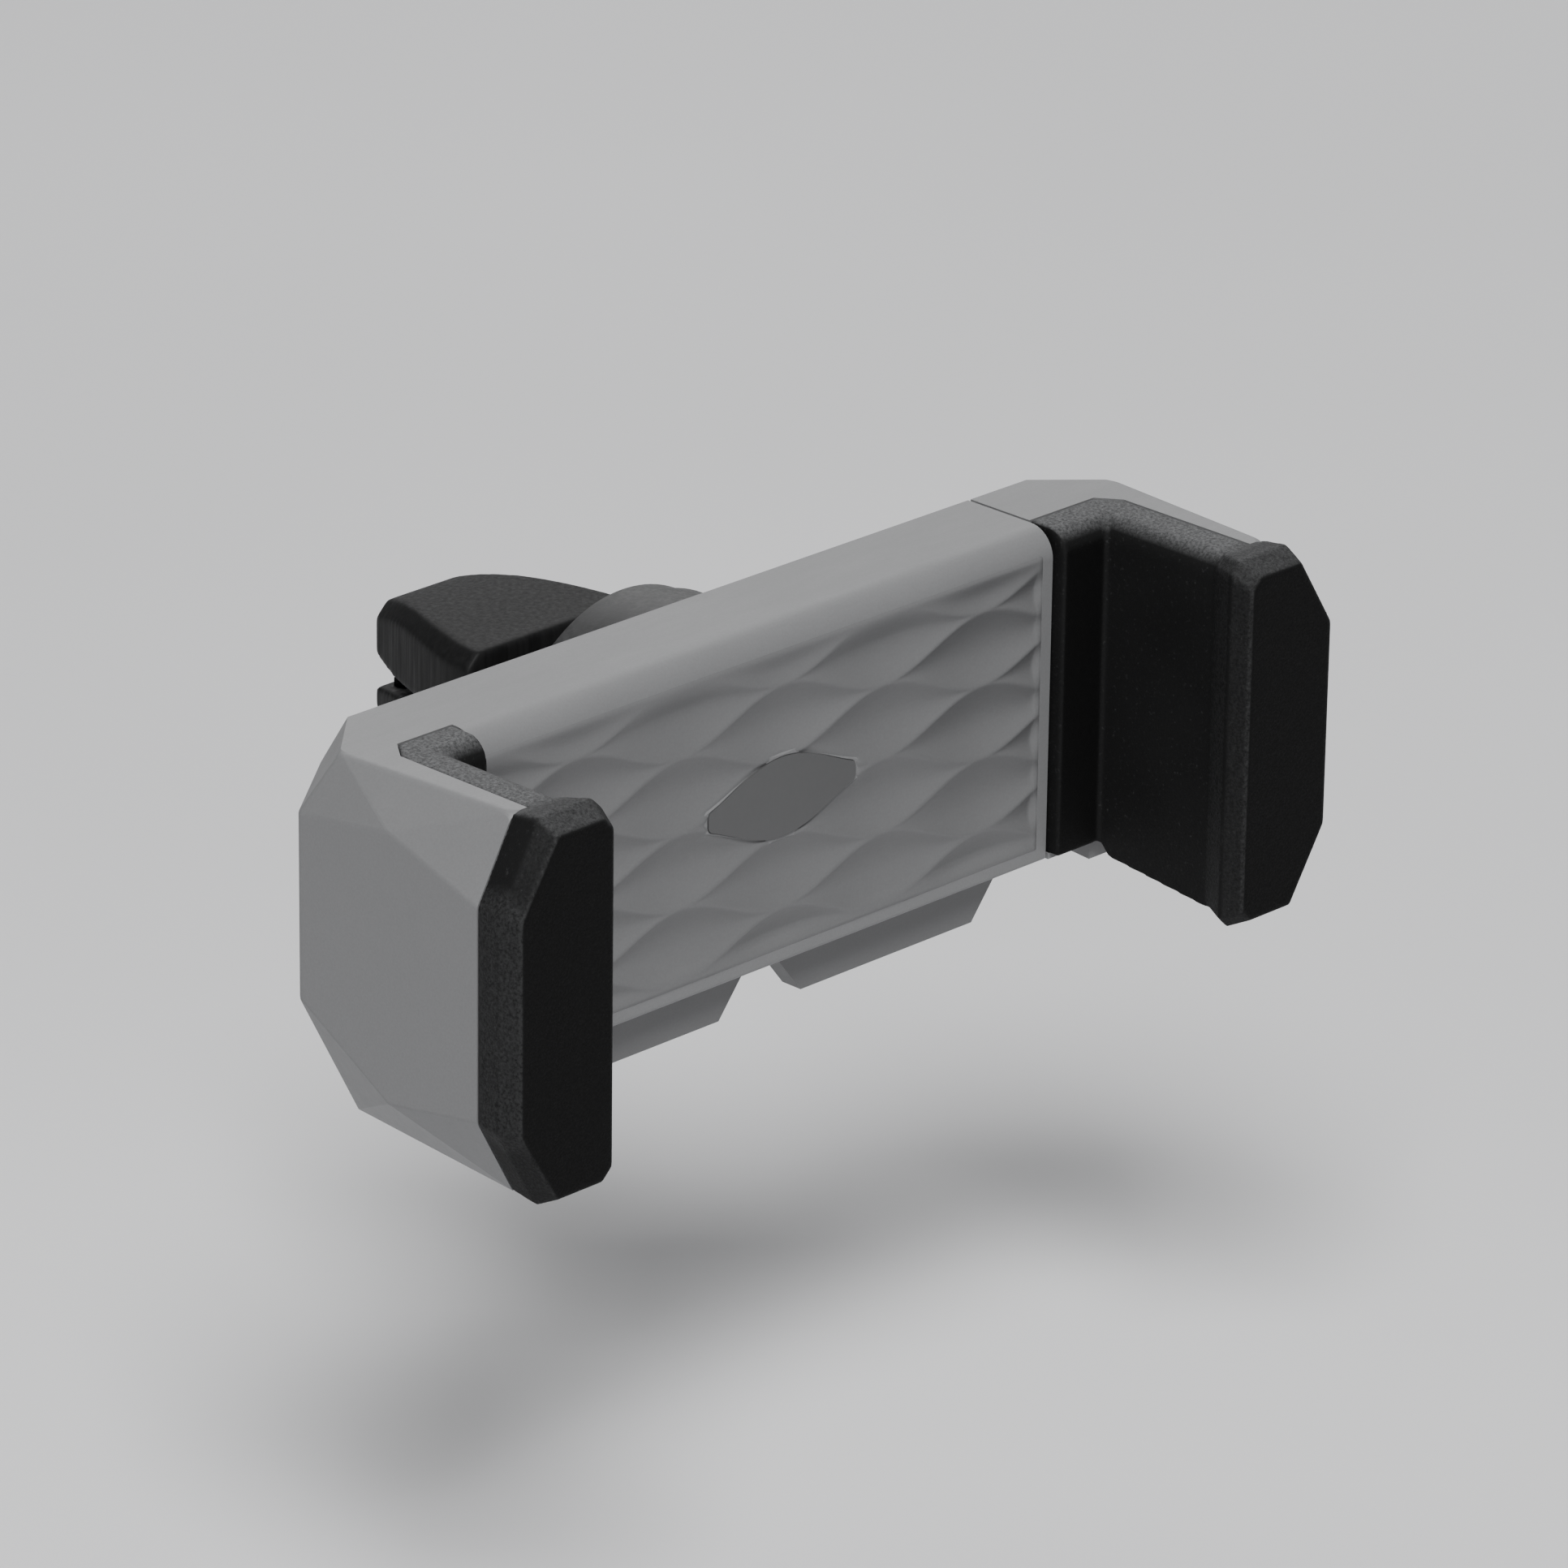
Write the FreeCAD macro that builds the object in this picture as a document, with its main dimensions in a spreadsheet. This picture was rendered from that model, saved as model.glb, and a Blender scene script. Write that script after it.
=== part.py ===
import FreeCAD, Part
import math
import os
import re
import Sketcher
from FreeCAD import Placement, Rotation, Vector

# Air vent phone holder: a cradle with one sliding arm, a ball joint and a sprung clip.
# The origin is the middle of the slot that grips a vent slat. +X points along the cradle
# towards the sliding arm, +Y points into the vent and +Z points up. Millimetres.

SIZES = {
    # cradle body
    "front_y": -34.0,
    "body_high": 28.0,
    "body_deep": 9.3,
    "seam_x": 29.9,
    "front_wall": 2.0,
    "rim_wall": 1.6,
    "end_wall": 1.6,
    "cavity_left_x": 30.6,
    "front_round": 2.4,
    "low_round": 0.4,
    "seam_gap": 0.3,
    # quilted front face
    "cell_wide": 22.0,
    "cell_high": 6.2,
    "cell_depth": 0.95,
    "cell_fill": 0.88,
    "quilt_top": 12.2,
    "quilt_low": 12.8,
    "quilt_right_x": 28.8,
    "quilt_left_x": 34.0,
    "quilt_fade": 2.6,
    "quilt_low_fade": 1.6,
    "quilt_edge": 0.15,
    # blank badge
    "badge_wide": 16.0,
    "badge_rim": 0.2,
    "badge_corner": 0.6,
    "badge_thick": 1.1,
    "badge_proud": 0.1,
    "badge_gap": 0.05,
    # faceted arms
    "pad_face_x": 35.0,
    "pad_thick": 4.0,
    "arm_side_x": 44.0,
    "arm_tip": 12.5,
    "arm_drop": 1.1,
    "arm_drop_back": 4.2,
    "tip_drop": 2.2,
    "arm_round": 0.7,
    "corner_x": 36.6,
    "crown_x": 41.7,
    "crown_back": 4.6,
    "tip_x": 40.4,
    "rear_facet_back": 6.8,
    "rear_facet_high": 9.1,
    "rear_facet_low": 5.6,
    "mid_facet_fore": 3.0,
    "mid_facet_high": 10.6,
    "mid_facet_low": 11.2,
    "fore_facet_high": 7.5,
    "fore_facet_low": 9.6,
    "rear_bevel_x": 39.5,
    # rubber pads
    "pad_proud": 1.0,
    "pad_inset": 0.5,
    "pad_round": 2.0,
    "pad_return_back": 2.9,
    "left_return_x": 32.0,
    "lip_fore": 17.0,
    "lip_swell": 15.0,
    "lip_hook": 1.1,
    "lip_bevel": 1.0,
    "lip_side_bevel": 0.5,
    "lip_flare": 0.35,
    "lip_corner": 1.0,
    "skin_gap": 0.02,
    # rear cover and socket
    "cover_thick": 1.7,
    "cover_gap": 0.1,
    "cover_rim": 1.1,
    "collar_r": 10.3,
    "collar_long": 6.6,
    "collar_lead": 0.6,
    "thread_gap": 0.1,
    "ball_r": 6.3,
    "ball_back": 16.4,
    "liner_thick": 1.05,
    "liner_gap": 0.06,
    "liner_front": 3.2,
    "liner_mouth": 41.0,
    "liner_slot": 0.8,
    # ring nut
    "nut_r": 12.5,
    "nut_front": 10.6,
    "nut_rear": 22.3,
    "nut_rear_r": 7.4,
    "nut_flange": 4.4,
    "nut_grip_r": 12.1,
    "nut_grip_end": 17.6,
    "nut_shoulder": 0.3,
    "nut_mouth": 45.0,
    "flute_r": 1.4,
    "flute_count": 16,
    # stud
    "stem_r": 2.5,
    "shank_r": 2.2,
    "shank_long": 4.2,
    "stud_flange_r": 3.2,
    "stud_flange": 0.6,
    # vent clip
    "clip_front": -9.0,
    "clip_tip": 6.6,
    "clip_half": 9.5,
    "clip_neck_half": 8.9,
    "clip_mid_half": 7.0,
    "clip_tip_half": 4.9,
    "clip_top": 6.9,
    "clip_tip_top": 5.7,
    "clip_low": 7.6,
    "slot_half": 0.5,
    "lead_in": 0.9,
    "clip_corner": 1.2,
    "base_back": -5.2,
    "knuckle_half": 5.0,
    "knuckle_r": 2.2,
    "knuckle_gap": 0.15,
    "pin_y": -7.2,
    "pin_z": -5.0,
    "pin_r": 1.0,
    "pin_gap": 0.06,
    "pin_head": 0.4,
    "jaw_front": -4.5,
    "jaw_low": 6.2,
    "jaw_tip_low": 4.2,
    "lever_low": 15.5,
    "lever_half": 4.6,
    "lever_thick": 2.0,
    "lever_foot": 1.0,
    "spring_channel": 1.7,
    "jaw_wire_r": 0.32,
    "jaw_coil_r": 1.98,
    "jaw_coil_turns": 3.5,
    "jaw_leg": 1.5,
    "grip_half": 4.0,
    "grip_start": -3.4,
    "grip_end": 5.4,
    "grip_thick": 0.9,
    "grip_rib": 0.22,
    "grip_ribs": 6,
    # slide
    "travel": 20.0,
    "tongue_front": 4.6,
    "tongue_thick": 2.7,
    "tongue_half": 9.1,
    "tongue_left_x": 12.0,
    "tongue_root": 37.4,
    "tongue_slot_half": 2.6,
    "slide_gap": 0.1,
    "lug_gap": 0.35,
    "spring_z": 11.0,
    "spring_r": 1.15,
    "spring_bore": 0.7,
    "post_x": 25.5,
    "post_r": 0.9,
    # feet
    "foot_inner_x": 1.2,
    "foot_outer_x": 27.0,
    "foot_slant": 3.3,
    "foot_drop": 4.2,
    "foot_rise": 10.6,
    "foot_thick": 2.0,
    "foot_gap": 0.12,
    "foot_stem_in": 2.8,
    "foot_stem_out": 4.5,
    "foot_hook": 1.0,
    "foot_hook_high": 2.0,
    "foot_face_gap": 0.02,
    # screws
    "screw_r": 1.0,
    "screw_head_r": 1.75,
    "screw_head": 0.9,
    "screw_long": 4.6,
    "screw_recess": 0.1,
    "screw_cross": 0.5,
    "boss_r": 1.55,
    "boss_left_x": 28.6,
    "boss_left_z": 9.6,
    "boss_right_x": 26.2,
    "boss_right_z": 10.9,
    "root_screw_x": 33.2,
    "root_screw_z": 6.0,
}

os.makedirs("parts", exist_ok=True)
doc = FreeCAD.newDocument("VentPhoneHolder")
sheet = doc.addObject("Spreadsheet::Sheet", "Sizes")
for row, (name, number) in enumerate(SIZES.items(), start=1):
    sheet.set(f"A{row}", name)
    sheet.set(f"B{row}", str(number))
    sheet.setAlias(f"B{row}", name)
doc.recompute()

WORD = re.compile(r"[a-z]+(?:_[a-z]+)+|travel")


def bind(text):
    """Expression text with every size name pointed at the sheet."""
    return WORD.sub(lambda found: "Sizes." + found.group(0), str(text))


def value(text):
    """The present number of an expression."""
    found = sheet.evalExpression(bind(text))
    return float(getattr(found, "Value", found))


def point(x, y, z):
    return Vector(value(x), value(y), value(z))


def place(thing, x, y, z):
    for axis, text in zip("xyz", (x, y, z)):
        thing.setExpression(f"Placement.Base.{axis}", bind(text))
    return thing


def box(name, x_span, y_span, z_span):
    """Block between two expressions on each axis."""
    block = doc.addObject("Part::Box", name)
    for side, (low, high) in zip(("Length", "Width", "Height"), (x_span, y_span, z_span)):
        block.setExpression(side, bind(f"({high}) - ({low})"))
    return place(block, x_span[0], y_span[0], z_span[0])


TURNS = {
    "X": Rotation(Vector(0, 1, 0), 90),
    "Y": Rotation(Vector(1, 0, 0), -90),
    "Z": Rotation(),
}


def rod(name, radius, length, axis, start):
    """Cylinder that runs from start along +X, +Y or +Z."""
    bar = doc.addObject("Part::Cylinder", name)
    bar.setExpression("Radius", bind(radius))
    bar.setExpression("Height", bind(length))
    bar.Placement = Placement(Vector(), TURNS[axis])
    return place(bar, *start)


def cone(name, radius_a, radius_b, length, axis, start):
    taper = doc.addObject("Part::Cone", name)
    taper.setExpression("Radius1", bind(radius_a))
    taper.setExpression("Radius2", bind(radius_b))
    taper.setExpression("Height", bind(length))
    taper.Placement = Placement(Vector(), TURNS[axis])
    return place(taper, *start)


def ball(name, radius, centre):
    sphere = doc.addObject("Part::Sphere", name)
    sphere.setExpression("Radius", bind(radius))
    return place(sphere, *centre)


def cut(name, base, tool):
    result = doc.addObject("Part::Cut", name)
    result.Base = base
    result.Tool = tool
    return result


def join(name, *pieces):
    result = doc.addObject("Part::MultiFuse", name)
    result.Shapes = list(pieces)
    result.Refine = True
    return result


def group(name, *pieces):
    result = doc.addObject("Part::Compound", name)
    result.Links = list(pieces)
    return result


def outline(body, plane, corners, offset="0"):
    """Closed polygon on an origin plane of the body, with every corner bound to the sheet."""
    sketch = body.newObject("Sketcher::SketchObject", body.Name + "_outline")
    support = next(item for item in body.Origin.OriginFeatures if item.Role == plane)
    sketch.AttachmentSupport = (support, "")
    sketch.MapMode = "FlatFace"
    sketch.setExpression("AttachmentOffset.Base.z", bind(offset))
    spots = [Vector(value(across), value(along), 0) for across, along in corners]
    count = len(spots)
    for index, spot in enumerate(spots):
        sketch.addGeometry(Part.LineSegment(spot, spots[(index + 1) % count]))
    for index in range(count):
        sketch.addConstraint(Sketcher.Constraint("Coincident", index, 2, (index + 1) % count, 1))
    for index, (across, along) in enumerate(corners):
        for kind, text in (("DistanceX", across), ("DistanceY", along)):
            number = sketch.addConstraint(Sketcher.Constraint(kind, -1, 1, index, 1, value(text)))
            sketch.setExpression(f"Constraints[{number}]", bind(text))
    return sketch


def prism(name, plane, corners, length, offset="0", back=False):
    """Padded polygon."""
    body = doc.addObject("PartDesign::Body", name)
    pad = body.newObject("PartDesign::Pad", name + "_pad")
    pad.Profile = outline(body, plane, corners, offset)
    pad.setExpression("Length", bind(length))
    pad.Reversed = back
    body.Tip = pad
    return body


def turned(name, corners, y_of_centre):
    """Polygon of (radius, y) corners revolved about an axis along Y."""
    body = doc.addObject("PartDesign::Body", name)
    sketch = outline(body, "XY_Plane", [(r, f"{y_of_centre} + ({y})") for r, y in corners])
    spin = body.newObject("PartDesign::Revolution", name + "_turn")
    spin.Profile = sketch
    spin.ReferenceAxis = (sketch, ["V_Axis"])
    spin.Angle = 360
    body.Tip = spin
    return body


def slice_off(name, piece, corners, inside):
    """Takes away what lies beyond the plane through three corners, away from the inside point."""
    first, second, third = corners
    normal = (second - first).cross(third - first).normalize()
    if normal.dot(inside - first) > 0:
        normal = normal * -1
    turn = Rotation(Vector(0, 0, 1), normal)
    cutter = doc.addObject("Part::Box", name + "_beyond")
    reach = value("2 * arm_side_x")
    for side in ("Length", "Width", "Height"):
        cutter.setExpression(side, bind("2 * arm_side_x"))
    middle = (first + second + third) / 3
    cutter.Placement = Placement(middle - turn.multVec(Vector(reach / 2, reach / 2, 0)), turn)
    return cut(name, piece, cutter)


TOP = "body_high / 2"
LOW = "-body_high / 2"
ARM_LOW = "-(body_high / 2 + arm_drop)"
TIP_LOW = "-(body_high / 2 + tip_drop)"
BACK = "front_y + body_deep"
ARM_IN = "(pad_face_x + pad_thick)"


def round_edges(name, piece, radius, chosen):
    """Fillet on the edges for which chosen(edge) is true."""
    doc.recompute()
    numbers = [index for index, edge in enumerate(piece.Shape.Edges, start=1) if chosen(edge)]
    fillet = doc.addObject("Part::Fillet", name)
    fillet.Base = piece
    size = value(radius)
    fillet.Edges = [(number, size, size) for number in numbers]
    return fillet


def near(first, second):
    return abs(first - second) < 1e-4


def along_x_at(y, z):
    """Test for a straight edge along X at the given y and z."""
    def test(edge):
        points = [vertex.Point for vertex in edge.Vertexes]
        return all(near(p.y, value(y)) and near(p.z, value(z)) for p in points)
    return test


def outer_edge(edge):
    """Test for an edge of the facets, away from the pad's seat and the flat back and tip planes."""
    points = [vertex.Point for vertex in edge.Vertexes]
    seat = value(ARM_IN)
    back, tip = value(BACK), value("front_y - arm_tip")
    if any(abs(p.x) < seat - 0.001 or p.z < value(LOW) for p in points):
        return False
    if all(near(abs(p.x), seat) for p in points):
        return False
    return not any(all(near(p.y, plane) for p in points) for plane in (back, tip))


def arm_blank(name, side, inner_x):
    """Side profile of an arm, padded across. It hangs a little lower than the cradle."""
    profile = [
        (BACK, LOW),
        (BACK, TOP),
        ("front_y - arm_tip", TOP),
        ("front_y - arm_tip", TIP_LOW),
        ("front_y + arm_drop_back", ARM_LOW),
    ]
    start = inner_x if side > 0 else "-arm_side_x"
    return prism(name + "_block", "YZ_Plane", profile, f"arm_side_x - ({inner_x})", start)


def faceted(name, blank, side):
    """Cuts the gem-like facets of an arm. Side is -1 for the left arm and 1 for the right."""
    def at(x, y_back, z):
        return point(f"{side} * ({x})", f"front_y + ({y_back})", z)

    middle = at("arm_side_x - pad_thick", "0", "0")
    corner = at("corner_x", "body_deep", TOP)
    crown = at("crown_x", "crown_back", TOP)
    tip = at("tip_x", "-arm_tip", TOP)
    rear = at("arm_side_x", "rear_facet_back", "rear_facet_high")
    mid = at("arm_side_x", "-mid_facet_fore", "mid_facet_high")
    fore = at("arm_side_x", "-arm_tip", "fore_facet_high")
    low_corner = at("tip_x", "arm_drop_back", ARM_LOW)
    low_tip = at("tip_x", "-arm_tip", TIP_LOW)
    low_rear = at("arm_side_x", "rear_facet_back", "-rear_facet_low")
    low_mid = at("arm_side_x", "-mid_facet_fore", "-mid_facet_low")
    low_fore = at("arm_side_x", "-arm_tip", "-fore_facet_low")
    bevel = at("rear_bevel_x", "body_deep", "0")
    low_bevel = at("rear_bevel_x", "body_deep", "-rear_facet_high")

    piece = slice_off(name + "_fore_facet", blank, (mid, fore, tip), middle)
    piece = slice_off(name + "_brow_facet", piece, (mid, tip, crown), middle)
    piece = slice_off(name + "_crown_facet", piece, (rear, mid, crown), middle)
    piece = slice_off(name + "_rear_facet", piece, (rear, crown, corner), middle)
    piece = slice_off(name + "_low_fore_facet", piece, (low_mid, low_fore, low_tip), middle)
    piece = slice_off(name + "_low_middle_facet", piece, (low_mid, low_tip, low_corner), middle)
    piece = slice_off(name + "_low_rear_facet", piece, (low_rear, low_mid, low_corner), middle)
    piece = slice_off(name + "_under_facet", piece, (low_rear, low_corner, low_bevel), middle)
    piece = slice_off(name + "_rear_bevel", piece, (rear, low_rear, bevel), middle)
    return round_edges(name + "_softened", piece, "arm_round", outer_edge)


def along_y_at(x, z):
    """Test for a straight edge along Y at the given x and z."""
    def test(edge):
        points = [vertex.Point for vertex in edge.Vertexes]
        return all(near(p.x, value(x)) and near(p.z, value(z)) for p in points)
    return test


def mirrored_x(side, near, far):
    """Span on X between two distances from the middle, on the given side."""
    return (near, far) if side > 0 else (f"-({far})", f"-({near})")


PAD_BACK = "front_y + pad_return_back"


def pad_blank(name, side, start_x, gap):
    """Inner wall of a pad with its return across the corner; gap shrinks it off its seat."""
    def at(x, y):
        return (f"{side} * ({x})", y)

    seat_x = f"{ARM_IN} - ({gap})"
    plan = [
        at(f"{start_x} + ({gap})", "front_y - pad_proud"),
        at("pad_face_x", "front_y - pad_proud"),
        at("pad_face_x", "front_y - arm_tip"),
        at(seat_x, "front_y - arm_tip"),
        at(seat_x, "front_y + pad_return_back / 3"),
        at(f"{ARM_IN} - pad_return_back / 2 - ({gap})", f"{PAD_BACK} - ({gap})"),
        at(f"{start_x} + ({gap})", f"{PAD_BACK} - ({gap})"),
    ]
    high = f"{TOP} - ({TIP_LOW}) + 2"
    slab = prism(name + "_plan", "XY_Plane", plan, high, f"{TIP_LOW} - 1")
    profile = [
        (PAD_BACK, f"{LOW} + pad_inset"),
        (PAD_BACK, TOP),
        ("front_y - arm_tip", TOP),
        ("front_y - arm_tip", f"{TIP_LOW} + pad_inset"),
        ("front_y - 2 * pad_proud", f"{ARM_LOW} + pad_inset"),
        ("front_y - pad_proud", f"{LOW} + pad_inset"),
    ]
    side_view = prism(name + "_side", "YZ_Plane", profile, "4 * arm_side_x", "-2 * arm_side_x")
    both = doc.addObject("Part::MultiCommon", name + "_wall")
    both.Shapes = [slab, side_view]
    return both


def lip_section(name, side, y_fore, inner_x, grow, bevel, side_bevel):
    """Front outline of a lip at one distance in front of the cradle face."""
    body = doc.addObject("PartDesign::Body", name)
    top = f"{TOP} + ({grow}) - ({bevel})"
    low = f"{TIP_LOW} - ({grow}) + ({bevel})"
    outer_x = f"arm_side_x + ({grow}) - ({side_bevel})"
    slope_x = f"tip_x - ({side_bevel}) / 2"
    corners = [
        (inner_x, f"{top} - lip_corner"),
        (f"{inner_x} + lip_corner", top),
        (slope_x, top),
        (outer_x, "fore_facet_high"),
        (outer_x, "-fore_facet_low"),
        (slope_x, low),
        (f"{inner_x} + lip_corner", low),
        (inner_x, f"{low} + lip_corner"),
    ]
    return outline(body, "XZ_Plane", [(f"{side} * ({x})", z) for x, z in corners], f"-(front_y - ({y_fore}))")


def rubber_pad(name, side, start_x):
    """Soft pad: wall against the phone's side, return on the cradle face, and lip in front."""
    wall = pad_blank(name, side, start_x, "skin_gap")
    brow = along_x_at("front_y - pad_proud", TOP)
    inner = along_y_at(f"{side} * pad_face_x", TOP)
    wall = round_edges(name + "_rounded", wall, "pad_round", lambda edge: brow(edge) or inner(edge))
    sections = [
        lip_section(name + "_lip_root", side, "arm_tip + skin_gap", "pad_face_x", "0", "0", "0"),
        lip_section(name + "_lip_swell", side, "lip_swell", "pad_face_x - lip_hook", "lip_flare", "0", "0"),
        lip_section(name + "_lip_front", side, "lip_fore", "pad_face_x - lip_hook / 2", "lip_flare",
                    "lip_bevel", "lip_side_bevel"),
    ]
    lip = doc.addObject("Part::Loft", name + "_lip")
    lip.Sections = sections
    lip.Solid = True
    lip.Ruled = True
    bridge = box(name + "_bridge", mirrored_x(side, "pad_face_x + pad_round", f"{ARM_IN} - skin_gap"),
                 ("front_y - arm_tip - skin_gap", "front_y - arm_tip + skin_gap"),
                 (f"{TIP_LOW} + pad_inset", f"{TOP} - pad_round"))
    return join(name + "_solid", wall, lip, bridge)


def leaf_half(x):
    """Half height of the leaf that is centred on x = 0, where the next column's leaf begins."""
    wide = value("cell_wide")
    x = (x + wide / 2) % wide - wide / 2
    return value("cell_high") / 4 * (1 + math.cos(2 * math.pi * x / wide))


def quilt_cell_shape():
    """One dished leaf cell: circular segments lofted along X between its two tips."""
    depth = value("cell_depth")
    fill = value("cell_fill")
    full = leaf_half(0)
    wires = []
    for share in (-0.84, -0.62, -0.4, -0.2, 0.0, 0.2, 0.4, 0.62, 0.84):
        x = share * value("cell_wide / 2")
        high = fill * leaf_half(x)
        sag = depth * leaf_half(x) / full
        left, right = Vector(x, 0, -high), Vector(x, 0, high)
        fore = Vector(0, -depth, 0)
        wires.append(Part.Wire([
            Part.Arc(left, Vector(x, sag, 0), right).toShape(),
            Part.makeLine(right, right + fore),
            Part.makeLine(right + fore, left + fore),
            Part.makeLine(left + fore, left),
        ]))
    return Part.makeLoft(wires, True, False)


def quilt_panel():
    """Room of the quilted face. Its walls slope, so that cells fade out at the brow."""
    depth = value("cell_depth")
    left, right = value("-quilt_left_x"), value("quilt_right_x")
    low, top = value("-quilt_low"), value("quilt_top")
    edge = value("quilt_edge")
    deep_low, deep_top = low + value("quilt_low_fade"), top - value("quilt_fade")
    return Part.makeWedge(left, 0, low, deep_low, left + edge, right, depth, top, deep_top, right - edge)


def quilt_cutter():
    """All cells of the quilted face, staggered by half a cell, trimmed to the panel."""
    wide = value("cell_wide")
    high = value("cell_high")
    cell = quilt_cell_shape()
    panel = quilt_panel()
    cells = []
    for column in range(-4, 4):
        for line in range(-3, 4):
            if column == 0 and line == 0:
                continue
            moved = cell.copy()
            moved.translate(Vector(column * wide / 2, 0, (line + (column % 2) / 2) * high))
            trimmed = moved.common(panel)
            if trimmed.Volume > value("cell_depth / 20"):
                cells.extend(trimmed.Solids)
    cutter = doc.addObject("Part::Feature", "quilt_cells")
    cutter.Shape = Part.makeCompound(cells)
    cutter.Placement = Placement(Vector(0, value("front_y"), 0), Rotation())
    return cutter


def badge_outline(grow):
    """Blunt-ended leaf that covers the middle cell, on the plane of the cradle face."""
    half_wide = value(f"badge_wide / 2 + ({grow})")
    rim = value(f"badge_rim + ({grow})")
    steps = 8
    places = [half_wide * (2 * step / steps - 1) for step in range(steps + 1)]
    top = [Vector(x, 0, leaf_half(x) + rim) for x in places]
    low = [Vector(spot.x, 0, -spot.z) for spot in top]
    upper, lower = Part.BSplineCurve(), Part.BSplineCurve()
    upper.interpolate(top)
    lower.interpolate(low)
    return Part.Wire([
        upper.toShape(),
        Part.makeLine(top[-1], low[-1]),
        lower.toShape(),
        Part.makeLine(low[0], top[0]),
    ])


def badge_solid(name, grow, front, thick):
    face = Part.Face(badge_outline(grow))
    plate = doc.addObject("Part::Feature", name)
    blank = face.extrude(Vector(0, value(thick), 0))
    corners = [edge for edge in blank.Edges if near(edge.Length, value(thick))]
    plate.Shape = blank.makeFillet(value("badge_corner"), corners)
    plate.Placement = Placement(Vector(0, value(front), 0), Rotation())
    return plate


def screw(name, x, y_seat, z):
    """Pan head screw driven towards -Y, head at the back, with a cross recess."""
    head = rod(name + "_head", "screw_head_r", "screw_head", "Y", (x, y_seat, z))
    shank = rod(name + "_shank", "screw_r", "screw_long", "Y", (x, f"{y_seat} - screw_long", z))
    body = join(name + "_blank", head, shank)
    recess_y = (f"{y_seat} + screw_head / 2", f"{y_seat} + 2 * screw_head")
    wide = (f"({x}) - screw_head_r / 2", f"({x}) + screw_head_r / 2")
    high = (f"({z}) - screw_head_r / 2", f"({z}) + screw_head_r / 2")
    bar_x = box(name + "_bar_x", wide, recess_y, (f"({z}) - screw_cross / 2", f"({z}) + screw_cross / 2"))
    bar_z = box(name + "_bar_z", (f"({x}) - screw_cross / 2", f"({x}) + screw_cross / 2"), recess_y, high)
    return cut(name, body, join(name + "_cross", bar_x, bar_z))


COVER_FRONT = f"{BACK} - cover_thick"
BALL_Y = "front_y + ball_back"
SEAT_R = "(ball_r + 2 * liner_gap + liner_thick)"
SCREW_SEAT = f"{BACK} - screw_head - screw_recess"
TONGUE_FRONT = "front_y + tongue_front"
TONGUE_BACK = f"{TONGUE_FRONT} + tongue_thick"
LUG_X = "(boss_right_x - boss_r - lug_gap - travel - 2 * post_r)"
FOOT_FRONT = "front_y + front_wall + foot_gap"
FOOT_BACK = f"{FOOT_FRONT} + foot_thick"
COVER_LEFT = "-(cavity_left_x + cover_rim)"
COVER_RIGHT = "seam_x - end_wall / 2"
COVER_HALF = "body_high / 2 - rim_wall / 2"
COVER_SCREWS = [
    ("-boss_left_x", "boss_left_z"),
    ("-boss_left_x", "-boss_left_z"),
    ("boss_right_x", "boss_right_z"),
    ("boss_right_x", "-boss_right_z"),
]
ROOT_SCREWS = [("root_screw_x", "root_screw_z"), ("root_screw_x", "-root_screw_z")]


def phone_space(name, side, inner_x):
    """Room in front of the cradle face for the phone and the pad beside it."""
    return box(name, mirrored_x(side, f"({inner_x}) - 1", ARM_IN),
               ("front_y - 2 * arm_tip", "front_y"), (f"{TIP_LOW} - 1", f"{TOP} + 1"))


def screw_holes(name, spots, y_end):
    """Clearance through the outer wall and a counterbore for each head."""
    tools = []
    for index, (x, z) in enumerate(spots):
        tools.append(rod(f"{name}_bore_{index}", "screw_r", f"{BACK} - ({y_end})", "Y", (x, y_end, z)))
        tools.append(rod(f"{name}_sink_{index}", "screw_head_r + cover_gap", "screw_head + 1", "Y",
                         (x, SCREW_SEAT, z)))
    return join(name, *tools)


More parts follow.
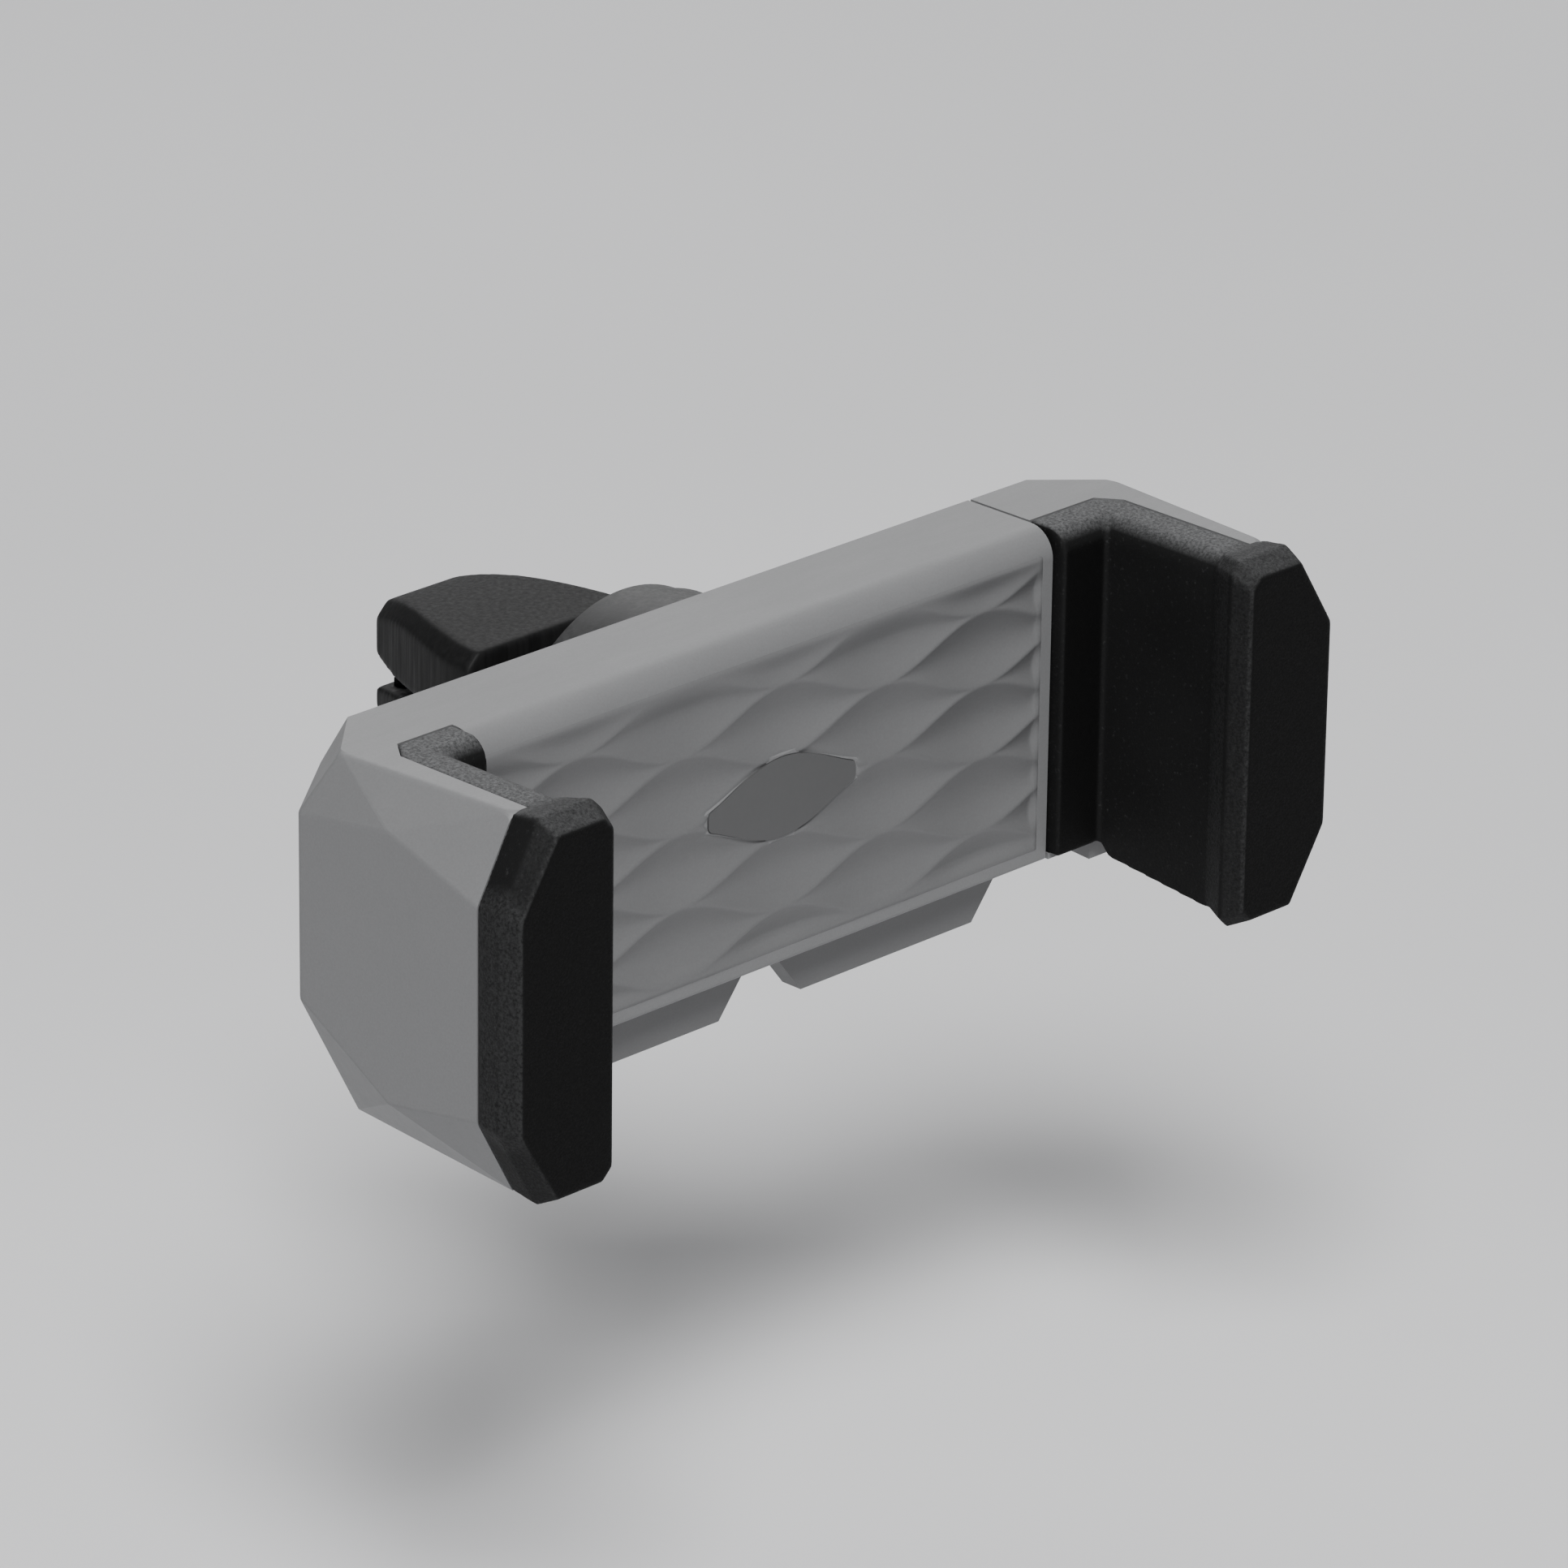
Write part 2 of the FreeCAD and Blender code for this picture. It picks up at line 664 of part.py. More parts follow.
def main_shell():
    """Front shell of the cradle and the fixed left arm, moulded as one piece."""
    block = box("cradle_block", ("-pad_face_x", "seam_x"), ("front_y", BACK), (LOW, TOP))
    block = round_edges("cradle_brow", block, "front_round", along_x_at("front_y", TOP))
    block = round_edges("cradle_sill", block, "low_round", along_x_at("front_y", LOW))
    arm = arm_blank("left_arm", -1, "pad_face_x")
    arm = cut("left_arm_open", arm, phone_space("left_phone_space", -1, "pad_face_x"))
    arm = faceted("left_arm", arm, -1)
    whole = join("main_solid", block, arm)

    inner_y = "front_y + front_wall"
    cavity = box("main_cavity", ("-cavity_left_x", "seam_x - end_wall"), (inner_y, COVER_FRONT),
                 (f"{LOW} + rim_wall", f"{TOP} - rim_wall"))
    ledge = box("cover_ledge", (COVER_LEFT, COVER_RIGHT), (COVER_FRONT, f"{BACK} + 1"),
                (f"-({COVER_HALF})", COVER_HALF))
    gate = box("tongue_gate", ("seam_x - 2 * end_wall", "seam_x + 1"),
               (f"{TONGUE_FRONT} - slide_gap", f"{TONGUE_BACK} + slide_gap"),
               ("-(tongue_half + slide_gap)", "tongue_half + slide_gap"))
    tools = [cavity, ledge, gate]
    for side, label in ((-1, "left"), (1, "right")):
        tools.append(box(f"{label}_foot_gate",
                         mirrored_x(side, "foot_inner_x + foot_stem_in - foot_gap",
                                    "foot_outer_x - foot_stem_out + foot_gap"),
                         (f"{FOOT_FRONT} - foot_gap", f"{FOOT_BACK} + foot_gap"),
                         (f"{LOW} - 1", f"{LOW} + 2 * rim_wall")))
    hollow = cut("main_hollow", whole, join("main_hollows", *tools))

    posts = []
    for index, (x, z) in enumerate(COVER_SCREWS):
        posts.append(rod(f"boss_{index}", "boss_r", f"{COVER_FRONT} - ({inner_y}) + 0.5", "Y",
                         (x, f"{inner_y} - 0.5", z)))
    for label, z in (("upper", "spring_z"), ("lower", "-spring_z")):
        posts.append(rod(f"{label}_post", "post_r", f"{COVER_FRONT} - ({inner_y}) + 0.5", "Y",
                         ("-post_x", f"{inner_y} - 0.5", z)))
    ribbed = join("main_ribbed", hollow, *posts)
    bored = cut("main_bored", ribbed, screw_holes("cover_bores", COVER_SCREWS, f"{SCREW_SEAT} - screw_long"))
    seated = cut("main_seated", bored, pad_blank("left_seat", -1, "left_return_x", "0"))
    quilted = cut("main_quilted", seated, quilt_cutter())
    nest = badge_solid("badge_nest", "badge_gap", "front_y - 1", "badge_thick - badge_proud + 1")
    return cut("main_shell_solid", quilted, nest)


def right_arm():
    """Arm that slides out, with the pocket that holds the root of the tongue."""
    base_x = "seam_x + seam_gap"
    arm = arm_blank("right_arm", 1, base_x)
    arm = cut("right_arm_open", arm, phone_space("right_phone_space", 1, base_x))
    arm = faceted("right_arm", arm, 1)
    step = box("right_base_step", (f"{base_x} - 1", "pad_face_x"), ("front_y - 1", f"{BACK} + 1"),
               (f"{TIP_LOW} - 1", LOW))
    arm = cut("right_arm_level", arm, step)
    arm = cut("right_arm_seated", arm, pad_blank("right_seat", 1, base_x, "0"))
    pocket = box("tongue_pocket", (f"{base_x} - 1", "tongue_root"), (TONGUE_FRONT, TONGUE_BACK),
                 ("-tongue_half", "tongue_half"))
    arm = cut("right_arm_pocketed", arm, pocket)
    return cut("right_arm_solid", arm, screw_holes("root_bores", ROOT_SCREWS, f"{SCREW_SEAT} - screw_long"))


def rear_cover():
    """Back plate with the collar and the round seat of the ball joint."""
    plate = box("cover_plate", (f"{COVER_LEFT} + cover_gap", f"{COVER_RIGHT} - cover_gap"),
                (COVER_FRONT, BACK), (f"-({COVER_HALF}) + cover_gap", f"{COVER_HALF} - cover_gap"))
    collar = rod("collar", "collar_r", "collar_long + 0.5", "Y", ("0", f"{BACK} - 0.5", "0"))
    lead = cone("collar_lead", "collar_r", "collar_r - collar_lead", "collar_lead", "Y",
                ("0", f"{BACK} + collar_long", "0"))
    solid = join("cover_solid", plate, collar, lead)
    solid = cut("cover_socketed", solid, ball("socket_seat", SEAT_R, ("0", BALL_Y, "0")))
    return cut("rear_cover_solid", solid, screw_holes("cover_holes", COVER_SCREWS, f"{COVER_FRONT} - 1"))


def friction_liner():
    """Slotted bowl between the ball and its socket."""
    bowl = cut("liner_bowl", ball("liner_outside", f"{SEAT_R} - liner_gap", ("0", BALL_Y, "0")),
               ball("liner_inside", "ball_r + liner_gap", ("0", BALL_Y, "0")))
    reach = "2 * ball_r"
    mouth = cone("liner_mouth", "0", f"{reach} * tan(liner_mouth)", reach, "Y", ("0", BALL_Y, "0"))
    front = box("liner_front", ("-2 * ball_r", "2 * ball_r"), (f"{BALL_Y} - 2 * ball_r", f"{BALL_Y} - liner_front"),
                ("-2 * ball_r", "2 * ball_r"))
    half = "liner_slot / 2"
    back = (f"{BALL_Y} + ball_r / 6", f"{BALL_Y} + 2 * ball_r")
    slot_x = box("liner_slot_x", ("-2 * ball_r", "2 * ball_r"), back, (f"-{half}", half))
    slot_z = box("liner_slot_z", (f"-{half}", half), back, ("-2 * ball_r", "2 * ball_r"))
    return cut("liner_solid", bowl, join("liner_openings", mouth, front, slot_x, slot_z))


def ring_nut():
    """Fluted nut that closes the socket over the ball."""
    edge = "collar_lead / 2"
    outside = turned("nut_outside", [
        ("0", "nut_front"),
        (f"nut_r - {edge}", "nut_front"),
        ("nut_r", f"nut_front + {edge}"),
        ("nut_r", "nut_front + nut_flange"),
        ("nut_grip_r", f"nut_front + nut_flange + {edge}"),
        ("nut_grip_r", "nut_grip_end"),
        ("nut_rear_r", "nut_rear"),
        ("0", "nut_rear"),
    ], "front_y")
    shoulder = "body_deep + collar_long + collar_lead + nut_shoulder"
    bore = rod("nut_bore", "collar_r + thread_gap", f"{shoulder} - nut_front + 1", "Y",
               ("0", "front_y + nut_front - 1", "0"))
    seat = ball("nut_seat", SEAT_R, ("0", BALL_Y, "0"))
    reach = "2 * ball_r"
    mouth = cone("nut_mouth", "0", f"{reach} * tan(nut_mouth)", reach, "Y", ("0", BALL_Y, "0"))
    hollow = cut("nut_hollow", outside, join("nut_inside", bore, seat, mouth))

    radius = value("flute_r")
    ring = value("(nut_grip_r + nut_rear_r) / 2 + flute_r")
    start = value("front_y + nut_grip_end")
    long = value("nut_rear - nut_front")
    count = int(value("flute_count"))
    flutes = []
    for index in range(count):
        angle = 2 * math.pi * index / count
        foot = Vector(ring * math.sin(angle), start, ring * math.cos(angle))
        flutes.append(Part.makeCylinder(radius, long, foot, Vector(0, 1, 0)))
    cutter = doc.addObject("Part::Feature", "nut_flutes")
    cutter.Shape = Part.makeCompound(flutes)
    return cut("ring_nut_solid", hollow, cutter)


def ball_stud():
    """Ball, stem, flange and the shank that is pressed into the clip."""
    head = ball("stud_ball", "ball_r", ("0", BALL_Y, "0"))
    stem = rod("stud_stem", "stem_r", f"clip_front - ({BALL_Y})", "Y", ("0", BALL_Y, "0"))
    flange = rod("stud_flange", "stud_flange_r", "stud_flange", "Y", ("0", "clip_front - stud_flange", "0"))
    shank = rod("stud_shank", "shank_r", "shank_long + 0.5", "Y", ("0", "clip_front - 0.5", "0"))
    return join("ball_stud_solid", head, stem, flange, shank)


def jaw_sections(name, stations, sign):
    """Chamfered rectangles across a jaw. Each station is (y, half width, inner z, outer z, chamfer)."""
    body = doc.addObject("PartDesign::Body", name + "_sections")
    sections = []
    for index, (y, half, inner, outer, corner) in enumerate(stations):
        low, high = f"{sign} * ({inner})", f"{sign} * ({outer})"
        bent = f"{sign} * (({outer}) - ({corner}))"
        corners = [
            (f"-({half})", low),
            (f"{half}", low),
            (f"{half}", bent),
            (f"({half}) - ({corner})", high),
            (f"-({half}) + ({corner})", high),
            (f"-({half})", bent),
        ]
        sections.append(outline(body, "XZ_Plane", corners, f"-({y})"))
    loft = doc.addObject("Part::Loft", name)
    loft.Sections = sections
    loft.Solid = True
    loft.Ruled = False
    return loft


def grip_strip(name, sign):
    """Rubber strip let into a jaw, with ribs across the slot."""
    start, end = value("grip_start"), value("grip_end")
    count = int(value("grip_ribs"))
    step = (end - start) / count
    face = sign * value("slot_half")
    rib = sign * value("grip_rib")
    deep = sign * value("grip_thick")
    spots = [(start, face)]
    for index in range(count):
        spots.append((start + (index + 0.5) * step, face - rib))
        spots.append((start + (index + 1) * step, face))
    spots.extend([(end, face + deep), (start, face + deep)])
    half = value("grip_half")
    wire = Part.makePolygon([Vector(-half, y, z) for y, z in spots + spots[:1]])
    strip = doc.addObject("Part::Feature", name)
    strip.Shape = Part.Face(wire).extrude(Vector(2 * half, 0, 0))
    return strip


def grip_pocket(name, sign):
    inner, outer = (f"{sign} * slot_half / 2", f"{sign} * (slot_half + grip_thick)")
    z_span = (inner, outer) if sign > 0 else (outer, inner)
    return box(name, ("-grip_half", "grip_half"), ("grip_start", "grip_end"), z_span)


CHANNEL_ROOF = "pin_z + knuckle_r + knuckle_gap"


def clip_base():
    """Fixed upper jaw of the clip with the ears that carry the hinge pin."""
    jaw = jaw_sections("upper_jaw", [
        ("clip_front", "clip_half", "-slot_half", "clip_top", "clip_corner"),
        ("base_back", "clip_neck_half", "slot_half", "clip_top", "clip_corner"),
        ("(base_back + clip_tip) / 2", "clip_mid_half", "slot_half", "clip_top", "clip_corner"),
        ("clip_tip", "clip_tip_half", "slot_half + lead_in", "clip_tip_top", "clip_corner"),
    ], 1)
    stub = box("base_stub", ("-clip_half", "clip_half"), ("clip_front", "base_back"),
               ("-clip_low", "slot_half + lead_in"))
    solid = join("clip_blank", jaw, stub)
    channel = box("knuckle_channel", ("-knuckle_half", "knuckle_half"), ("clip_front - 1", "base_back + 1"),
                  ("-clip_low - 1", CHANNEL_ROOF))
    socket = rod("shank_socket", "shank_r", "shank_long + 1", "Y", ("0", "clip_front - 1", "0"))
    bore = rod("ear_bore", "pin_r", "4 * clip_half", "X", ("-2 * clip_half", "pin_y", "pin_z"))
    return cut("clip_base_solid", solid,
               join("clip_openings", channel, socket, bore, grip_pocket("upper_grip_pocket", 1)))


def lower_jaw():
    """Sprung jaw with its knuckle and the thumb lever below it."""
    jaw = jaw_sections("under_jaw", [
        ("jaw_front", "clip_neck_half - clip_corner / 4", "slot_half", "jaw_low", "clip_corner"),
        ("(base_back + clip_tip) / 2", "clip_mid_half", "slot_half", "jaw_low", "clip_corner"),
        ("clip_tip", "clip_tip_half", "slot_half + lead_in", "jaw_tip_low", "clip_corner"),
    ], -1)
    width = ("-(knuckle_half - knuckle_gap)", "knuckle_half - knuckle_gap")
    knuckle = rod("knuckle", "knuckle_r", f"2 * ({width[1]})", "X", (width[0], "pin_y", "pin_z"))
    neck = box("knuckle_neck", width, ("pin_y", "jaw_front + 1"), ("-jaw_low", "pin_z + knuckle_r / 2"))
    lever_y = ("pin_y - lever_thick / 2", "pin_y + lever_thick / 2")
    lever = box("thumb_lever", ("-lever_half", "lever_half"), lever_y, ("-lever_low", "pin_z"))
    foot = box("lever_foot", ("-lever_half", "lever_half"), (f"{lever_y[0]} - lever_foot", lever_y[1]),
               ("-lever_low", "-lever_low + lever_thick"))
    solid = join("lower_jaw_blank", jaw, knuckle, neck, lever, foot)
    channel = box("spring_channel", ("-spring_channel", "spring_channel"),
                  ("pin_y - 2 * knuckle_r", "pin_y + knuckle_r + 2 * jaw_wire_r"),
                  ("pin_z - knuckle_r - 2 * jaw_wire_r", "0"))
    bore = rod("knuckle_bore", "pin_r + pin_gap", "4 * clip_half", "X", ("-2 * clip_half", "pin_y", "pin_z"))
    return cut("lower_jaw_solid", solid,
               join("lower_jaw_openings", channel, bore, grip_pocket("lower_grip_pocket", -1)))


def jaw_spring():
    """Torsion spring wound round the hinge pin, with a leg at each end."""
    radius = value("jaw_coil_r")
    wire_r = value("jaw_wire_r")
    turns = value("jaw_coil_turns")
    pitch = (value("2 * spring_channel") - 3 * wire_r) / turns
    helix = Part.makeHelix(pitch, pitch * turns, radius)
    section = Part.Wire(Part.makeCircle(wire_r, Vector(radius, 0, 0), Vector(0, 1, 0)))
    coil = Part.Wire(helix).makePipeShell([section], True, True)
    leg_long = value("jaw_leg")
    start = Vector(radius, 0, 0)
    end_angle = 2 * math.pi * turns
    end = Vector(radius * math.cos(end_angle), radius * math.sin(end_angle), pitch * turns)
    ahead = Vector(-math.sin(end_angle), math.cos(end_angle), 0)
    legs = [
        Part.makeCylinder(wire_r, leg_long, start, Vector(0, -1, 0)),
        Part.makeCylinder(wire_r, leg_long, end, ahead),
    ]
    whole = coil.fuse(legs)
    spring = doc.addObject("Part::Feature", "jaw_spring_solid")
    spring.Shape = whole
    half = pitch * turns / 2
    spring.Placement = Placement(Vector(-half, value("pin_y"), value("pin_z")), TURNS["X"])
    return spring


def jaw_pin():
    return rod("jaw_pin_solid", "pin_r", "2 * (clip_half - pin_head)", "X",
               ("-(clip_half - pin_head)", "pin_y", "pin_z"))


def slide_tongue():
    """Flat tongue that carries the sliding arm, with a lug for each return spring."""
    plate = box("tongue_plate", ("-tongue_left_x", "tongue_root"), (TONGUE_FRONT, TONGUE_BACK),
                ("-tongue_half", "tongue_half"))
    lug = box("tongue_lugs", (LUG_X, f"{LUG_X} + 2 * post_r"), (TONGUE_FRONT, TONGUE_BACK),
              ("-(spring_z + spring_r)", "spring_z + spring_r"))
    window = box("tongue_window", ("-tongue_left_x + 2 * tongue_slot_half", "seam_x - 2 * tongue_slot_half"),
                 (f"{TONGUE_FRONT} - 1", f"{TONGUE_BACK} + 1"), ("-tongue_slot_half", "tongue_slot_half"))
    bores = [rod(f"tongue_bore_{index}", "screw_r", "3 * tongue_thick", "Y", (x, f"{TONGUE_FRONT} - 1", z))
             for index, (x, z) in enumerate(ROOT_SCREWS)]
    return cut("slide_tongue_solid", join("tongue_blank", plate, lug), join("tongue_openings", window, *bores))


def return_spring(name, z):
    """Extension spring from a post of the shell to a lug of the tongue, as its outer tube."""
    y = f"({TONGUE_FRONT} + tongue_thick / 2)"
    start = ("-post_x + post_r", y, z)
    tube = rod(name + "_outside", "spring_r", f"{LUG_X} + post_x - post_r", "X", start)
    bore = rod(name + "_inside", "spring_bore", f"{LUG_X} + post_x - post_r", "X", start)
    return cut(name + "_solid", tube, bore)


def foot(name, side):
    """Pull-down foot: trapezoid blade below the cradle, stem and hooks inside it."""
    top = f"{LOW} - foot_face_gap"
    stem_in = "foot_inner_x + foot_stem_in"
    stem_out = "foot_outer_x - foot_stem_out"
    head = f"{LOW} + foot_rise"
    neck = f"{head} - foot_hook_high"
    corners = [
        ("foot_inner_x", top),
        ("foot_inner_x + foot_slant", f"{LOW} - foot_drop"),
        ("foot_outer_x - foot_slant", f"{LOW} - foot_drop"),
        ("foot_outer_x", top),
        (stem_out, top),
        (stem_out, neck),
        (f"{stem_out} + foot_hook", neck),
        (f"{stem_out} + foot_hook", head),
        (f"{stem_in} - foot_hook", head),
        (f"{stem_in} - foot_hook", neck),
        (stem_in, neck),
        (stem_in, top),
    ]
    corners = [(f"{side} * ({x})", z) for x, z in corners]
    return prism(name + "_solid", "XZ_Plane", corners, "foot_thick", f"-({FOOT_BACK})")


PIECES = {
    "main_shell": main_shell(),
    "rear_cover": rear_cover(),
    "leaf_badge": badge_solid("badge_solid", "0", "front_y - badge_proud", "badge_thick"),
    "left_pad": rubber_pad("left_pad", -1, "left_return_x"),
    "right_arm": right_arm(),
    "right_pad": rubber_pad("right_pad", 1, "seam_x + seam_gap"),
    "slide_tongue": slide_tongue(),
    "upper_spring": return_spring("upper_spring", "spring_z"),
    "lower_spring": return_spring("lower_spring", "-spring_z"),
    "left_foot": foot("left_foot", -1),
    "right_foot": foot("right_foot", 1),
    "cover_screws": group("cover_screw_set", *[
        screw(f"cover_screw_{index}", x, SCREW_SEAT, z) for index, (x, z) in enumerate(COVER_SCREWS)]),
    "tongue_screws": group("tongue_screw_set", *[
        screw(f"tongue_screw_{index}", x, SCREW_SEAT, z) for index, (x, z) in enumerate(ROOT_SCREWS)]),
    "friction_liner": friction_liner(),
    "ring_nut": ring_nut(),
    "ball_stud": ball_stud(),
    "clip_base": clip_base(),
    "lower_jaw": lower_jaw(),
    "jaw_pin": jaw_pin(),
    "jaw_spring": jaw_spring(),
    "upper_grip": grip_strip("upper_grip_solid", 1),
    "lower_grip": grip_strip("lower_grip_solid", -1),
}

doc.recompute()
for thing in doc.Objects:
    if "Invalid" in thing.State or "Error" in thing.State:
        raise RuntimeError(f"{thing.Name} failed: {thing.State}")
for name, thing in PIECES.items():
    thing.Label = name
    shape = thing.Shape
    if shape.isNull() or not shape.isValid() or not shape.Solids:
        raise RuntimeError(f"{name} has no valid solid")
    print(f"{name}: {len(shape.Solids)} solids, {shape.Volume:.1f} mm3")
for name, thing in PIECES.items():
    thing.Shape.exportStep(f"parts/{name}.step")
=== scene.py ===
import math

import bmesh
import bpy
from mathutils import Matrix, Vector

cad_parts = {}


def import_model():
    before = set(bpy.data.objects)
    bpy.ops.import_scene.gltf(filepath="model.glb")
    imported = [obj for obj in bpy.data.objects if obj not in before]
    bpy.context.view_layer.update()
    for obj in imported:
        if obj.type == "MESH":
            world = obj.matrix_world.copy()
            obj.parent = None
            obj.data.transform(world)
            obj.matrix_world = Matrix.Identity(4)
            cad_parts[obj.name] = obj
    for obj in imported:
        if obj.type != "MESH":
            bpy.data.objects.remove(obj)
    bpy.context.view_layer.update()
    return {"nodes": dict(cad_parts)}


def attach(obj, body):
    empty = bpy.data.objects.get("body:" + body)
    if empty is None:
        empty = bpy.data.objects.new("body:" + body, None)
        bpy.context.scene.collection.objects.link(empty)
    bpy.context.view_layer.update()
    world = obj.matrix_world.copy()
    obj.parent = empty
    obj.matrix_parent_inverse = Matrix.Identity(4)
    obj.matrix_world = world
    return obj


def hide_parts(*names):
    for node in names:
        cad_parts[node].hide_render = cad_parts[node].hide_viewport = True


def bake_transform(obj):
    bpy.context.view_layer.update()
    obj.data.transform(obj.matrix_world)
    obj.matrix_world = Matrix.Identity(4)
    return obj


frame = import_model()

# Holder with an air vent clip. Metres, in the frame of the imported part: the origin is the
# middle of the slot that grips a vent slat, +X towards the sliding arm, +Y into the vent, +Z up.

MM = 0.001
FACE_Y = -34.0
BADGE = Vector((0, FACE_Y, 0)) * MM

# Camera, worked out from the photograph. The two offsets shift it in its own plane.
PHOTO_SIDE = 1932
SENSOR = 36.0
FOCAL_PIXELS = 11501
AZIMUTH = math.radians(-45.41)
ELEVATION = math.radians(22.40)
ROLL = math.radians(0.768)
DISTANCE = 716.5 * MM
OFFSET_RIGHT = 0.148 * MM
OFFSET_UP = 0.949 * MM


# Materials

class Nodes:
    """Short way to write a material's node tree."""

    def __init__(self, name):
        self.material = bpy.data.materials.new(name)
        self.material.use_nodes = True
        self.tree = self.material.node_tree
        self.shader = self.tree.nodes["Principled BSDF"]
        coords = self.tree.nodes.new("ShaderNodeTexCoord")
        self.place = coords.outputs["Object"]
        self.facing = coords.outputs["Normal"]

    def feed(self, socket, value):
        """Links another node's output to a socket, or sets a constant on it."""
        if isinstance(value, bpy.types.NodeSocket):
            self.tree.links.new(value, socket)
        else:
            socket.default_value = value

    def add(self, kind, output, **inputs):
        """Adds a node, feeds the inputs that are named and returns one output."""
        node = self.tree.nodes.new("ShaderNode" + kind)
        for name, value in inputs.items():
            self.feed(node.inputs[name.replace("_", " ")], value)
        return node.outputs[output]

    def stretched(self, scale):
        """Place on the part, scaled by axis so that a noise becomes streaks."""
        return self.add("Mapping", "Vector", Scale=scale, Vector=self.place)

    def noise(self, scale, detail, rough, where=None):
        return self.add("TexNoise", "Fac", Scale=scale, Detail=detail, Roughness=rough,
                        Vector=where or self.place)

    def cells(self, scale):
        return self.add("TexVoronoi", "Distance", Scale=scale, Vector=self.place)

    def axis(self, vector, letter):
        """One component of a vector, such as how far the surface faces up."""
        return self.add("SeparateXYZ", letter, Vector=vector)

    def ramp(self, source, low, high, low_value=0.0, high_value=1.0):
        """Takes low to low_value and high to high_value, and stays there beyond them."""
        return self.add("MapRange", "Result", From_Min=low, From_Max=high, To_Min=low_value,
                        To_Max=high_value, Value=source)

    def combine(self, operation, *values):
        """Result of a Math node."""
        node = self.tree.nodes.new("ShaderNodeMath")
        node.operation = operation
        for socket, value in zip(node.inputs, values):
            self.feed(socket, value)
        return node.outputs["Value"]

    def weighted(self, first, second, share):
        """Sum of two values, the first with its share and the second with the rest."""
        return self.combine("ADD", self.combine("MULTIPLY", first, share),
                            self.combine("MULTIPLY", second, 1 - share))

    def mix(self, amount, first, second):
        """Colour that goes from the first to the second with the amount."""
        node = self.tree.nodes.new("ShaderNodeMix")
        node.data_type = "RGBA"
        for name, value in (("Factor", amount), ("A", first), ("B", second)):
            self.feed(node.inputs[name], value)
        return node.outputs["Result"]

    def bumps(self, *layers):
        """Normal of bumps over one another, each a height, its distance and its strength."""
        below = {}
        for height, distance, strength in layers:
            below["Normal"] = self.add("Bump", "Normal", Strength=strength, Distance=distance,
                                       Height=height, **below)
        return below["Normal"]

    def finish(self, colour, rough, normal, **constants):
        """Feeds the shader and returns the material."""
        inputs = {"Base_Color": colour, "Roughness": rough, "Normal": normal, **constants}
        for name, value in inputs.items():
            self.feed(self.shader.inputs[name.replace("_", " ")], value)
        return self.material


# how far the greys lean to blue
PLASTIC_BLUE = 0.008
RUBBER_BLUE = 0.01


def grey(level, blue=PLASTIC_BLUE):
    """Cool grey of a linear level."""
    return (level * (1 - blue), level, level * (1 + 2 * blue), 1)


def moulded(name, level, spark, grain=5200, rough=(0.42, 0.58), depth=0.018 * MM):
    """Moulded plastic: spark-eroded grain, cloudy tone and faint scuffs."""
    nodes = Nodes(name)
    fine = nodes.noise(scale=grain, detail=3.0, rough=0.6)
    cloud = nodes.noise(scale=55, detail=3.0, rough=0.5)
    scuffs = nodes.noise(scale=900, detail=2.0, rough=0.7, where=nodes.stretched((0.15, 1.0, 1.0)))
    tone = nodes.ramp(nodes.weighted(fine, cloud, share=0.6), low=0.35, high=0.65)
    colour = nodes.mix(tone, grey(level * (1 - spark)), grey(level * (1 + spark)))
    scuffed = nodes.combine("ADD", cloud, nodes.combine("MULTIPLY", scuffs, 0.5))
    shine = nodes.ramp(scuffed, 0.4, 1.1, *rough)
    normal = nodes.bumps((fine, depth, 0.5), (cloud, 0.05 * MM, 0.3))
    return nodes.finish(colour, shine, normal, Specular_IOR_Level=0.42)


# The pads wear at their outer ends, where abs(x) passes from the first to the second value.
WORN_END = (43.0 * MM, 43.6 * MM)

# In front of the first y all is lip, and behind the second nothing is. Its bevels are made paler.
LIP_RANGE = (-47.5 * MM, -45.5 * MM)

# levels of the dusty tone with its painted sheen, of the wear at the ends and of the paler bevels, as
# shares of the dusty tone's own level
DUST_AND_SHEEN_LOW = 0.45
DUST_AND_SHEEN_HIGH = 1.5
END_WEAR = 0.35
BEVEL_PALER = 0.34

# share of the dusty tone and its painted sheen that stays on a lip
LIP_DUST_AND_SHEEN = 0.45


